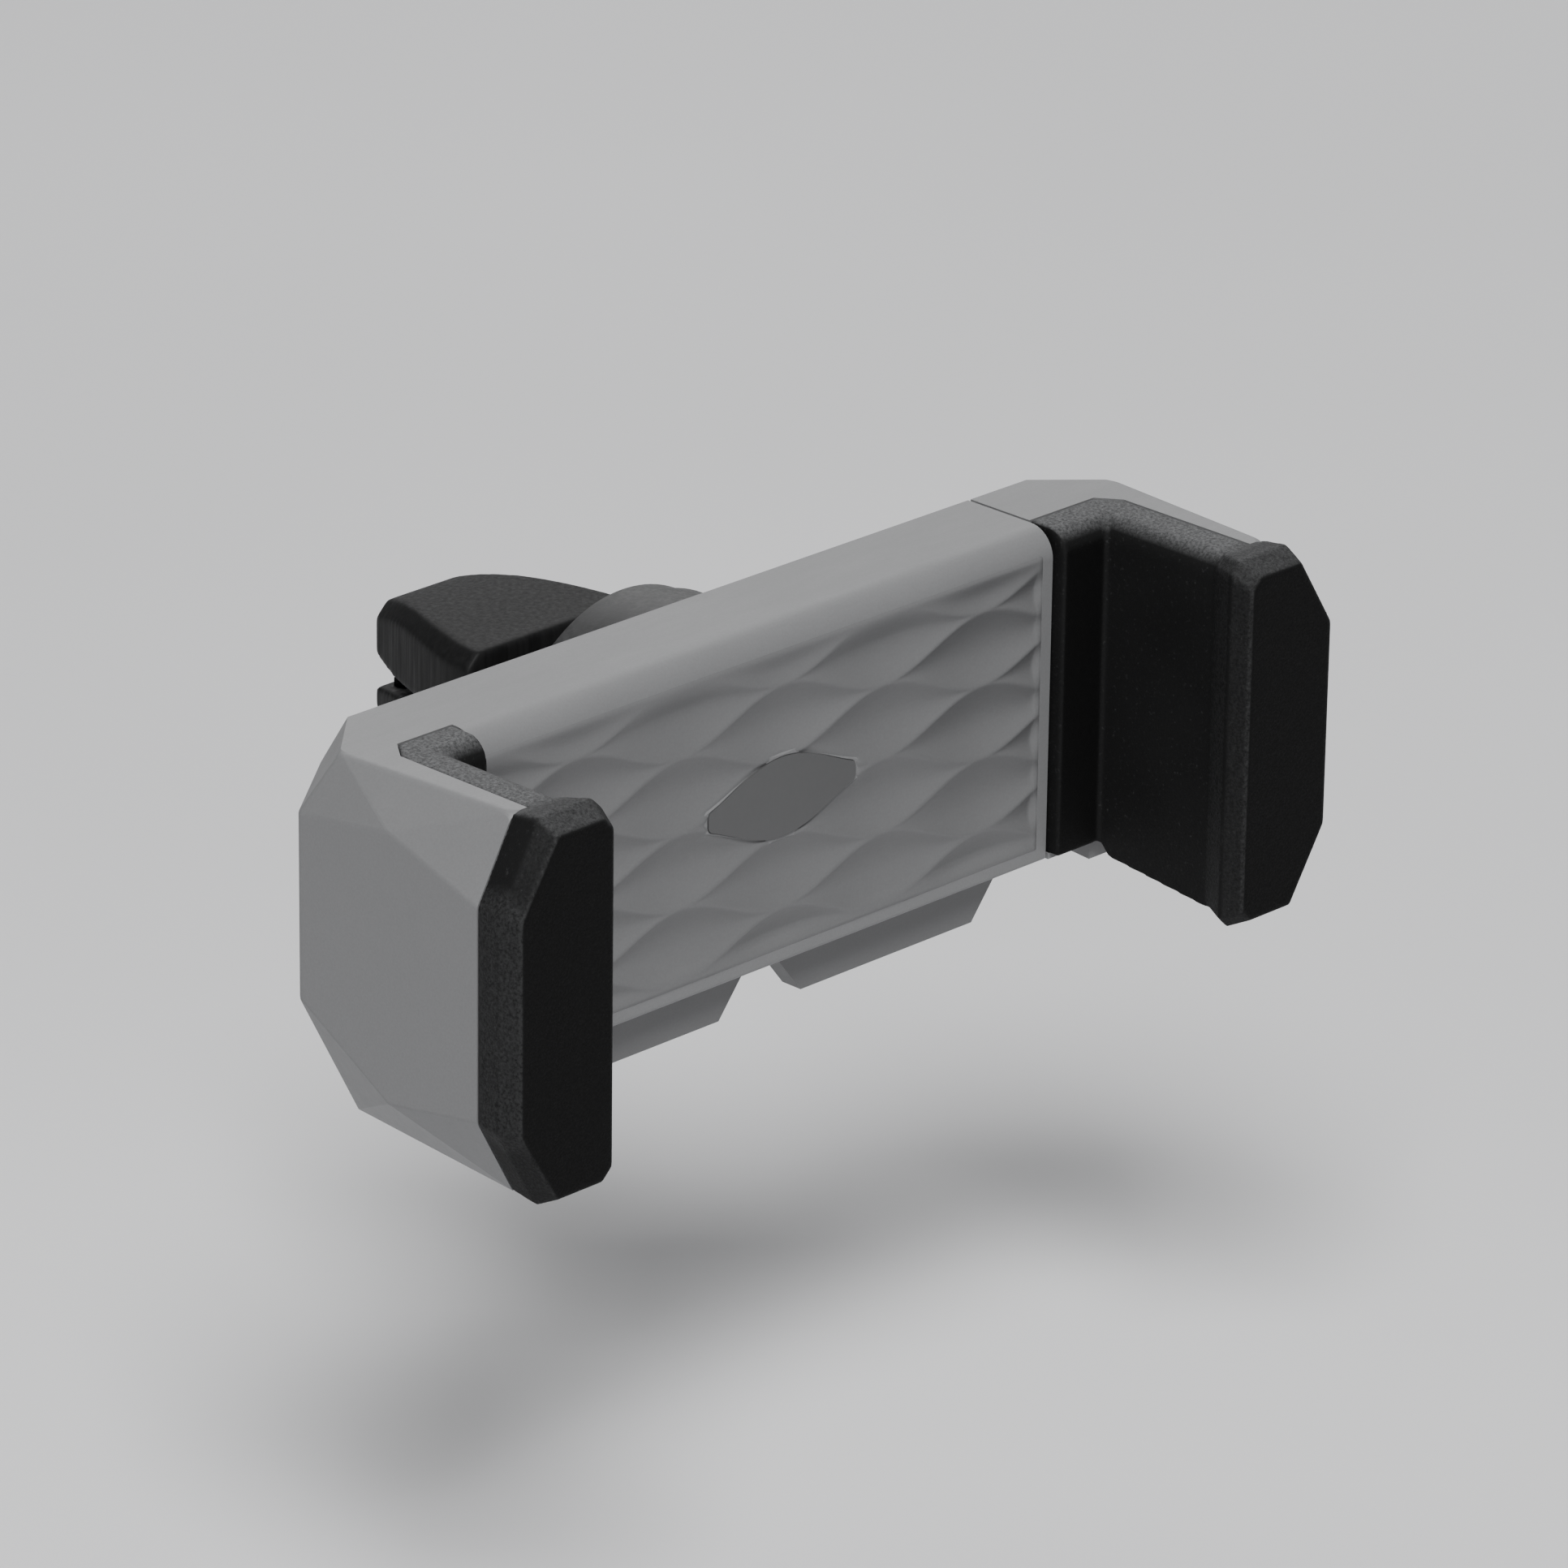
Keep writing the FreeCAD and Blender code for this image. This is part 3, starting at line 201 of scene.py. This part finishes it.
def rubber(name, level, speck, dust_and_sheen):
    """Dull rubber: pebbled skin with paler specks, wear at its ends, paler bevels, painted shade on
    the faces that face forward, and a paler gritty tone where it faces up, partly dusty and partly
    painted sheen.
    """
    nodes = Nodes(name)
    pebble = nodes.cells(4200)
    fine = nodes.noise(scale=7500, detail=3.0, rough=0.65)
    cloud = nodes.noise(scale=90, detail=3.0, rough=0.5)
    grit = nodes.ramp(nodes.noise(scale=3800, detail=3.0, rough=0.8), low=0.35, high=0.65)
    sparse = nodes.ramp(nodes.noise(scale=2600, detail=2.0, rough=0.7), low=0.6, high=0.78)

    def gritty_paler(skin, where, paler_level):
        """The skin with a gritty paler grey of a level at some places."""
        return nodes.mix(nodes.combine("MULTIPLY", where, grit), skin, grey(paler_level, RUBBER_BLUE))

    skin = nodes.mix(nodes.ramp(cloud, low=0.35, high=0.7),
                     grey(level * 0.8, RUBBER_BLUE), grey(level * 1.25, RUBBER_BLUE))
    specks = nodes.combine("MULTIPLY", sparse, nodes.ramp(fine, low=0.4, high=0.7))
    skin = nodes.mix(specks, skin, grey(speck, RUBBER_BLUE))

    sideways = nodes.combine("ABSOLUTE", nodes.axis(nodes.place, "X"))
    skin = gritty_paler(skin, nodes.ramp(sideways, *WORN_END), dust_and_sheen * END_WEAR)

    across, fore = nodes.axis(nodes.facing, "X"), nodes.axis(nodes.facing, "Y")
    # the slanted faces of the lip's bevels are made a gritty paler grey
    slanted = nodes.combine("ABSOLUTE", nodes.combine("MULTIPLY", across, fore))
    lip = nodes.ramp(nodes.axis(nodes.place, "Y"), *LIP_RANGE, 1.0, 0.0)
    bevel = nodes.combine("MULTIPLY", nodes.ramp(slanted, low=0.12, high=0.42), lip)
    skin = gritty_paler(skin, bevel, dust_and_sheen * BEVEL_PALER)

    # painted shade: the faces that face forward are made blackest
    skin = nodes.mix(nodes.ramp(fore, -1.0, -0.93, 1.0, 0.0), skin, grey(level * 0.25, RUBBER_BLUE))

    # paler gritty tone where the rubber faces up, partly dusty and partly painted sheen, with less of
    # it on a lip
    dust_and_sheen_tone = nodes.mix(grit, grey(dust_and_sheen * DUST_AND_SHEEN_LOW, RUBBER_BLUE), grey(dust_and_sheen * DUST_AND_SHEEN_HIGH, RUBBER_BLUE))
    upward = nodes.ramp(nodes.axis(nodes.facing, "Z"), low=0.5, high=1.0)
    less_on_lip = nodes.ramp(lip, 0.0, 1.0, 1.0, LIP_DUST_AND_SHEEN)
    colour = nodes.mix(nodes.combine("MULTIPLY", upward, less_on_lip), skin, dust_and_sheen_tone)

    shine = nodes.ramp(fine, 0.3, 0.7, 0.62, 0.85)
    normal = nodes.bumps((pebble, 0.03 * MM, 0.6), (fine, 0.02 * MM, 0.5))
    return nodes.finish(colour, shine, normal, Specular_IOR_Level=0.15)


def brushed_plastic(name, level, specular):
    """Dark plastic with fine upright streaks from the mould."""
    nodes = Nodes(name)
    streaks = nodes.noise(scale=2400, detail=3.0, rough=0.6, where=nodes.stretched((1.0, 1.0, 0.06)))
    grain = nodes.noise(scale=5200, detail=2.0, rough=0.6)
    cloud = nodes.noise(scale=70, detail=3.0, rough=0.5)
    tone = nodes.ramp(nodes.weighted(streaks, cloud, share=0.7), low=0.35, high=0.65)
    colour = nodes.mix(tone, grey(level * 0.75), grey(level * 1.35))
    shine = nodes.ramp(streaks, 0.3, 0.7, 0.42, 0.62)
    normal = nodes.bumps((streaks, 0.03 * MM, 0.45), (grain, 0.015 * MM, 0.4))
    return nodes.finish(colour, shine, normal, Specular_IOR_Level=specular)


def steel(name, level, stretch):
    """Drawn or turned steel with fine lines, drawn out along the axes of small stretch."""
    nodes = Nodes(name)
    lines = nodes.noise(scale=5000, detail=3.0, rough=0.6, where=nodes.stretched(stretch))
    stain = nodes.noise(scale=260, detail=4.0, rough=0.6)
    colour = nodes.mix(nodes.ramp(stain, low=0.35, high=0.7),
                       grey(level * 0.8, blue=0.0), grey(level * 1.1, blue=0.0))
    shine = nodes.ramp(lines, 0.3, 0.7, 0.2, 0.38)
    return nodes.finish(colour, shine, nodes.bumps((lines, 0.008 * MM, 0.4)), Metallic=1.0)


def paper(name, low_colour, high_colour):
    """Matt backdrop paper with fine fibres and a faint cloud."""
    nodes = Nodes(name)
    fibre = nodes.noise(scale=1500, detail=3.0, rough=0.6)
    cloud = nodes.noise(scale=6, detail=2.0, rough=0.5)
    colour = nodes.mix(nodes.ramp(cloud, low=0.3, high=0.7), low_colour, high_colour)
    shine = nodes.ramp(fibre, 0.3, 0.7, 0.75, 0.9)
    return nodes.finish(colour, shine, nodes.bumps((fibre, 0.02 * MM, 0.3)))


SHELL = moulded("shell_grey_plastic", level=0.165, spark=0.06)
BADGE_FACE = moulded("badge_satin_plastic", level=0.068, spark=0.03, grain=2600,
                     rough=(0.3, 0.42), depth=0.006 * MM)
PAD = rubber("pad_black_rubber", level=0.0055, speck=0.05, dust_and_sheen=0.08)
CLIP = brushed_plastic("clip_dark_plastic", level=0.009, specular=0.09)
NUT = brushed_plastic("nut_dark_plastic", level=0.03, specular=0.35)
QUILT = moulded("quilt_grey_plastic", level=0.128, spark=0.06)
FOOT = moulded("foot_grey_plastic", level=0.135, spark=0.05)
INNER = moulded("inner_pale_plastic", level=0.42, spark=0.03, grain=3000,
                rough=(0.3, 0.4), depth=0.006 * MM)
SCREW = steel("screw_steel", level=0.45, stretch=(1.0, 0.05, 1.0))
WIRE = steel("spring_wire_steel", level=0.5, stretch=(1.0, 0.2, 0.2))

FINISHES = {
    "main_shell": SHELL,
    "rear_cover": SHELL,
    "leaf_badge": BADGE_FACE,
    "left_pad": PAD,
    "right_arm": SHELL,
    "right_pad": PAD,
    "slide_tongue": INNER,
    "left_foot": FOOT,
    "right_foot": FOOT,
    "cover_screws": SCREW,
    "tongue_screws": SCREW,
    "friction_liner": INNER,
    "ring_nut": NUT,
    "ball_stud": CLIP,
    "clip_base": CLIP,
    "lower_jaw": CLIP,
    "jaw_pin": SCREW,
    "jaw_spring": WIRE,
    "upper_grip": PAD,
    "lower_grip": PAD,
}


def dress(obj, material):
    """Gives an object one material."""
    obj.data.materials.clear()
    obj.data.materials.append(material)


for node_name, finish in FINISHES.items():
    dress(frame["nodes"][node_name], finish)


# Soft edges of the CAD nodes, by modifiers

SOFT_EDGED = ("right_arm", "left_foot", "right_foot", "leaf_badge")
SOFT_WIDTH = 0.2 * MM
SOFT_SEGMENTS = 3
SOFT_FROM = math.radians(28)

# size of a voxel, and rounds of smoothing
ROLLED = {
    "left_pad": (0.19 * MM, 5),
    "right_pad": (0.19 * MM, 5),
    "clip_base": (0.22 * MM, 14),
    "lower_jaw": (0.22 * MM, 14),
}


def soften(node):
    """Small rounded edges on a moulded node."""
    edge = frame["nodes"][node].modifiers.new("soft_edges", "BEVEL")
    edge.width = SOFT_WIDTH
    edge.segments = SOFT_SEGMENTS
    edge.limit_method = "ANGLE"
    edge.angle_limit = SOFT_FROM


def round_over(node, voxel, rounds):
    """Rolls all edges of a moulded node over, more with more rounds."""
    obj = frame["nodes"][node]
    cells = obj.modifiers.new("even_cells", "REMESH")
    cells.mode = "VOXEL"
    cells.voxel_size = voxel
    cells.use_smooth_shade = True
    rolled = obj.modifiers.new("rolled_edges", "SMOOTH")
    rolled.factor = 0.5
    rolled.iterations = rounds


for node_name in SOFT_EDGED:
    soften(node_name)
for node_name, rolling in ROLLED.items():
    round_over(node_name, *rolling)


# Meshes of the scene's own pieces

def join_rows(mesh, rows, closed=False, skip=None):
    """Smooth quads between neighbouring rows of vertices, apart from those that skip refuses."""
    for low, top in zip(rows, rows[1:]):
        for step in range(len(low) if closed else len(low) - 1):
            after = (step + 1) % len(low)
            corners = (low[step], low[after], top[after], top[step])
            if skip is None or not skip(corners):
                mesh.faces.new(corners).smooth = True


def add_piece(name, mesh, material):
    """Turns a bmesh into an object of the scene with one material."""
    data = bpy.data.meshes.new(name)
    mesh.normal_update()
    mesh.to_mesh(data)
    mesh.free()
    piece = bpy.data.objects.new(name, data)
    bpy.context.collection.objects.link(piece)
    dress(piece, material)
    return piece


# Quilted face, in millimetres. Its leaves repeat those of the CAD face under it.

CELL_WIDE = 22.0
CELL_HIGH = 6.2
DISH = 0.83
DISH_POWER = 1.25

QUILT_LEFT = -31.95
QUILT_RIGHT = 28.8
QUILT_LOW = -12.8
QUILT_TOP = 12.2
QUILT_COLUMNS = 220
QUILT_LINES = 200

# widths over which the leaves fade in from an edge; at the left they run under the pad
FADE_TOP = 2.6
FADE_LOW = 1.6
FADE_RIGHT = 0.7

# the skin stands proud of the CAD face, and is tucked into it at its outline and at the badge
SKIN_PROUD = 0.13
SKIN_TUCK = 0.02
OUTLINE_TUCK_WIDE = 0.3
BADGE_TUCK_WIDE = 0.35

# radius of the face's rounded top edge, and the height at which it starts
BROW_ROUND = 2.4
BROW_START = 11.6

# The badge covers the middle leaf this far from its middle, and a rim beyond the leaf's edge.
BADGE_HALF = 8.0
BADGE_RIM = 0.2
HOLE_INSET = 0.3

# distance square to a leaf's slanting edge, as a share of the upright distance
EDGE_SLANT = 0.75


def smooth(share):
    """Soft step from 0 to 1."""
    share = min(1.0, max(0.0, share))
    return share * share * (3 - 2 * share)


def leaf_half(x):
    """Half height of a leaf at a distance from its middle."""
    return CELL_HIGH / 4 * (1 + math.cos(2 * math.pi * x / CELL_WIDE))


def dish(x, z):
    """Depth of the leaf at a place of the face, zero on the ridges."""
    first = math.floor(x / (CELL_WIDE / 2))
    for column in (first, first + 1):
        half = leaf_half(x - column * CELL_WIDE / 2)
        shift = column % 2 / 2
        middle = (round(z / CELL_HIGH - shift) + shift) * CELL_HIGH
        if half > 0 and abs(z - middle) <= half:
            off = abs(z - middle) / half
            return DISH * (2 * half / CELL_HIGH) * (1 - off ** 2) ** DISH_POWER
    return 0.0


def brow(z):
    """How far the rounded top edge has fallen back."""
    if z <= BROW_START:
        return 0.0
    return BROW_ROUND - math.sqrt(BROW_ROUND ** 2 - (z - BROW_START) ** 2)


def face_y(x, z):
    """Y of the quilted skin."""
    fade = (smooth((QUILT_TOP - z) / FADE_TOP) * smooth((z - QUILT_LOW) / FADE_LOW)
            * smooth((QUILT_RIGHT - x) / FADE_RIGHT))
    inside = min(x - QUILT_LEFT, QUILT_RIGHT - x, z - QUILT_LOW, QUILT_TOP - z)
    beside_badge = max(abs(x) - BADGE_HALF, EDGE_SLANT * (abs(z) - leaf_half(x) - BADGE_RIM))
    clear = min(smooth(inside / OUTLINE_TUCK_WIDE), smooth(beside_badge / BADGE_TUCK_WIDE))
    lift = (SKIN_PROUD + SKIN_TUCK) * clear - SKIN_TUCK
    return FACE_Y + brow(z) + dish(x, z) * fade - lift


def under_badge(corners):
    """Whether all corners lie well behind the badge."""
    places = [(abs(corner.co.x / MM), abs(corner.co.z / MM)) for corner in corners]
    return all(x < BADGE_HALF - HOLE_INSET and z < leaf_half(x) + BADGE_RIM - HOLE_INSET
               for x, z in places)


def quilt_skin():
    """Dished leaves of the cradle's face as one smooth skin with a hole behind the badge."""
    mesh = bmesh.new()
    rows = []
    for line in range(QUILT_LINES + 1):
        z = QUILT_LOW + (QUILT_TOP - QUILT_LOW) * line / QUILT_LINES
        row = []
        for step in range(QUILT_COLUMNS + 1):
            x = QUILT_LEFT + (QUILT_RIGHT - QUILT_LEFT) * step / QUILT_COLUMNS
            row.append(mesh.verts.new(Vector((x, face_y(x, z), z)) * MM))
        rows.append(row)
    join_rows(mesh, rows, skip=under_badge)
    loose = [vert for vert in mesh.verts if not vert.link_faces]
    bmesh.ops.delete(mesh, geom=loose, context="VERTS")
    skin = add_piece("quilt_skin", mesh, QUILT)
    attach(skin, "cradle")


# Return springs, in millimetres: their ends, and the radii of coil, wire and hooks

SPRING_LEFT = -24.6
SPRING_RIGHT = 2.5
SPRING_Y = -28.05
SPRING_Z = 11.0
COIL_R = 0.92
WIRE_R = 0.2
HOOK_R = 0.7
COIL_TURNS = 44
STEPS_PER_TURN = 18
HOOK_SWEEP = 4 * math.pi / 3
HOOK_STEPS = 12
WIRE_SIDES = 8


def hook(middle, first_turn):
    """Open loop round a point of the X axis, seen from above."""
    points = []
    for step in range(HOOK_STEPS + 1):
        turn = first_turn - HOOK_SWEEP * step / HOOK_STEPS
        points.append(Vector((middle + HOOK_R * math.cos(turn), HOOK_R * math.sin(turn), 0)))
    return points


def coil_path():
    """Middle line of an extension spring along X: hook, close turns, hook."""
    start, end = SPRING_LEFT + 2 * HOOK_R, SPRING_RIGHT - 2 * HOOK_R
    steps = COIL_TURNS * STEPS_PER_TURN
    coil = []
    for step in range(steps + 1):
        turn = 2 * math.pi * step / STEPS_PER_TURN
        coil.append(Vector((start + (end - start) * step / steps,
                            COIL_R * math.cos(turn), COIL_R * math.sin(turn))))
    left = hook(SPRING_LEFT + HOOK_R, -math.pi / 3)
    right = hook(SPRING_RIGHT - HOOK_R, 2 * math.pi / 3)
    return left + coil + right


def wire_rings(mesh, path):
    """Rings of vertices round a path, each turned as little as it can be from the last."""
    rings = []
    over = Vector((0, 0, 1))
    for index, spot in enumerate(path):
        along = (path[min(index + 1, len(path) - 1)] - path[max(index - 1, 0)]).normalized()
        over = (over - along * over.dot(along)).normalized()
        beside = along.cross(over)
        ring = []
        for side in range(WIRE_SIDES):
            turn = 2 * math.pi * side / WIRE_SIDES
            outward = over * math.cos(turn) + beside * math.sin(turn)
            ring.append(mesh.verts.new(spot + outward * WIRE_R * MM))
        rings.append(ring)
    return rings


def coil_spring(node, z):
    """Wound wire in place of the spring's plain tube."""
    mesh = bmesh.new()
    rings = wire_rings(mesh, [(spot + Vector((0, SPRING_Y, z))) * MM for spot in coil_path()])
    join_rows(mesh, rings, closed=True)
    mesh.faces.new(rings[0])
    mesh.faces.new(rings[-1])
    bmesh.ops.recalc_face_normals(mesh, faces=mesh.faces)
    spring = add_piece(node + "_coil", mesh, WIRE)
    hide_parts(node)
    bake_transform(spring)


quilt_skin()
coil_spring("upper_spring", SPRING_Z)
coil_spring("lower_spring", -SPRING_Z)


# Stage, in metres. The floor is turned to lie square to the camera and curves up behind the part.

FLOOR_DROP = 60 * MM
FLOOR_HALF = 2.4
FLOOR_FRONT = -1.6
FLOOR_BACK = 0.9
FLOOR_BEND = 0.35
FLOOR_TOP = 2.2
BEND_STEPS = 16
FLOOR_COLOURS = ((0.66, 0.66, 0.67, 1), (0.70, 0.70, 0.71, 1))

# azimuth and elevation from the badge in degrees, distance and side in metres, power in watts
LIGHTS = {
    "key_overhead": (-42, 57, 1.1, 0.45, 18.5),
    "sheen_behind": (135, 38, 1.0, 0.8, 4.0),
}

SKY_COLOUR = (0.95, 0.97, 1.0, 1)
SKY_STRENGTH = 0.09


def direction(azimuth, elevation):
    """Unit vector away from the badge, from angles in radians."""
    return Vector((math.sin(azimuth) * math.cos(elevation), -math.cos(azimuth) * math.cos(elevation),
                   math.sin(elevation)))


def studio_floor():
    """Pale floor that curves up behind the object."""
    profile = [(FLOOR_FRONT, 0.0), (FLOOR_BACK, 0.0)]
    for step in range(1, BEND_STEPS + 1):
        turn = math.pi / 2 * step / BEND_STEPS
        profile.append((FLOOR_BACK + FLOOR_BEND * math.sin(turn), FLOOR_BEND * (1 - math.cos(turn))))
    profile.append((FLOOR_BACK + FLOOR_BEND, FLOOR_TOP))
    mesh = bmesh.new()
    rows = [[mesh.verts.new((side * FLOOR_HALF, along, high - FLOOR_DROP)) for side in (-1, 1)]
            for along, high in profile]
    join_rows(mesh, rows)
    floor = add_piece("studio_floor", mesh, paper("studio_floor_paper", *FLOOR_COLOURS))
    floor.rotation_euler = (0, 0, AZIMUTH)


def soft_light(name, azimuth, elevation, distance, side, power):
    """Square area light that faces the badge."""
    data = bpy.data.lights.new(name, "AREA")
    data.shape = "SQUARE"
    data.size = side
    data.energy = power
    light = bpy.data.objects.new(name, data)
    away = direction(math.radians(azimuth), math.radians(elevation))
    light.location = BADGE + away * distance
    light.rotation_euler = away.to_track_quat("Z", "Y").to_euler()
    bpy.context.collection.objects.link(light)


def world():
    """Faint even light from all sides."""
    sky = bpy.data.worlds.new("studio")
    sky.use_nodes = True
    background = sky.node_tree.nodes["Background"]
    background.inputs["Color"].default_value = SKY_COLOUR
    background.inputs["Strength"].default_value = SKY_STRENGTH
    bpy.context.scene.world = sky


def camera():
    """Camera at the photograph's view of the badge."""
    right = Vector((math.cos(AZIMUTH), math.sin(AZIMUTH), 0))
    back = direction(AZIMUTH, ELEVATION)
    up = back.cross(right)
    spot = BADGE + back * DISTANCE + right * OFFSET_RIGHT + up * OFFSET_UP
    rolled_right = right * math.cos(ROLL) + up * math.sin(ROLL)
    rolled_up = up * math.cos(ROLL) - right * math.sin(ROLL)
    data = bpy.data.cameras.new("photo_camera")
    data.sensor_width = SENSOR
    data.lens = FOCAL_PIXELS / PHOTO_SIDE * SENSOR
    data.clip_start = 10 * MM
    eye = bpy.data.objects.new("photo_camera", data)
    turn = Matrix((rolled_right, rolled_up, back)).transposed()
    eye.matrix_world = Matrix.Translation(spot) @ turn.to_4x4()
    bpy.context.collection.objects.link(eye)
    bpy.context.scene.camera = eye


studio_floor()
for light_name, light_values in LIGHTS.items():
    soft_light(light_name, *light_values)
world()
camera()
